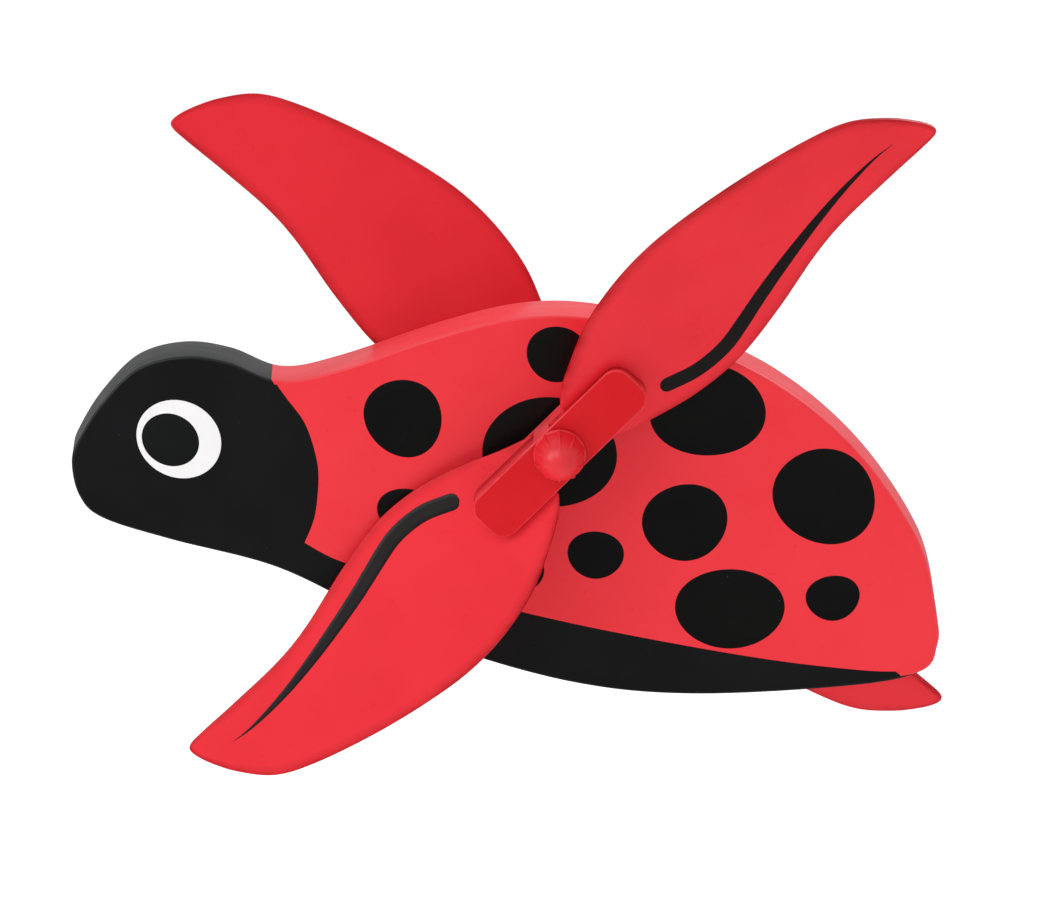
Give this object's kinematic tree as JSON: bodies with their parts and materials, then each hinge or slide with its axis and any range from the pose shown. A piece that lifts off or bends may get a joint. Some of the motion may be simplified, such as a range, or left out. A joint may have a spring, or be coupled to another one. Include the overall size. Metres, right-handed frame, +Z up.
{
  "type": "wind whirligig",
  "caption": "Flat painted wooden ladybird whirligig that swivels on a pole, with a free-turning pitched-blade propeller on each side of its body.",
  "frame": {"origin": "centre of the mouth of the pole socket, in the belly of the body board", "axes": "+X toward the tail, the head is toward -X; +Z up, so the socket opens toward -Z; Y lies along the propeller axle, and the ladybird's left side is -Y"},
  "size_m": [0.4171, 0.1274, 0.3216],
  "materials": {
    "painted_board": "satin paint",
    "painted_hub": "satin paint",
    "painted_blade": "satin paint",
    "cap_plastic": "gloss",
    "steel_rod": "bright drawn",
    "steel_tube": "satin",
    "hard_steel": "ground",
    "zinc_washer": "zinc plated",
    "spring_steel": "oiled spring steel",
    "brass_tube": "drawn",
    "nylon": "natural nylon"
  },
  "bodies": {
    "board": {"body": "painted_board", "axle": "steel_rod", "axle_liner": "brass_tube", "pivot_sleeve": "steel_tube", "pivot_disc": "hard_steel", "left_board_washer": "zinc_washer", "left_spacer": "nylon", "left_inner_washer": "zinc_washer", "left_outer_washer": "zinc_washer", "left_push_nut": "spring_steel", "left_cap": "cap_plastic", "right_board_washer": "zinc_washer", "right_spacer": "nylon", "right_inner_washer": "zinc_washer", "right_outer_washer": "zinc_washer", "right_push_nut": "spring_steel", "right_cap": "cap_plastic"},
    "left_propeller": {"left_hub": "painted_hub", "left_hub_bush": "nylon", "left_blade_1": "painted_blade", "left_blade_2": "painted_blade"},
    "right_propeller": {"right_hub": "painted_hub", "right_hub_bush": "nylon", "right_blade_1": "painted_blade", "right_blade_2": "painted_blade"}
  },
  "joints": [
    {"name": "left_propeller_spin", "type": "hinge", "parent": "board", "child": "left_propeller", "pos_m": [0.056, 0, 0.107], "axis": [0, -1, 0], "continuous": true},
    {"name": "right_propeller_spin", "type": "hinge", "parent": "board", "child": "right_propeller", "pos_m": [0.056, 0, 0.107], "axis": [0, 1, 0], "continuous": true}
  ]
}
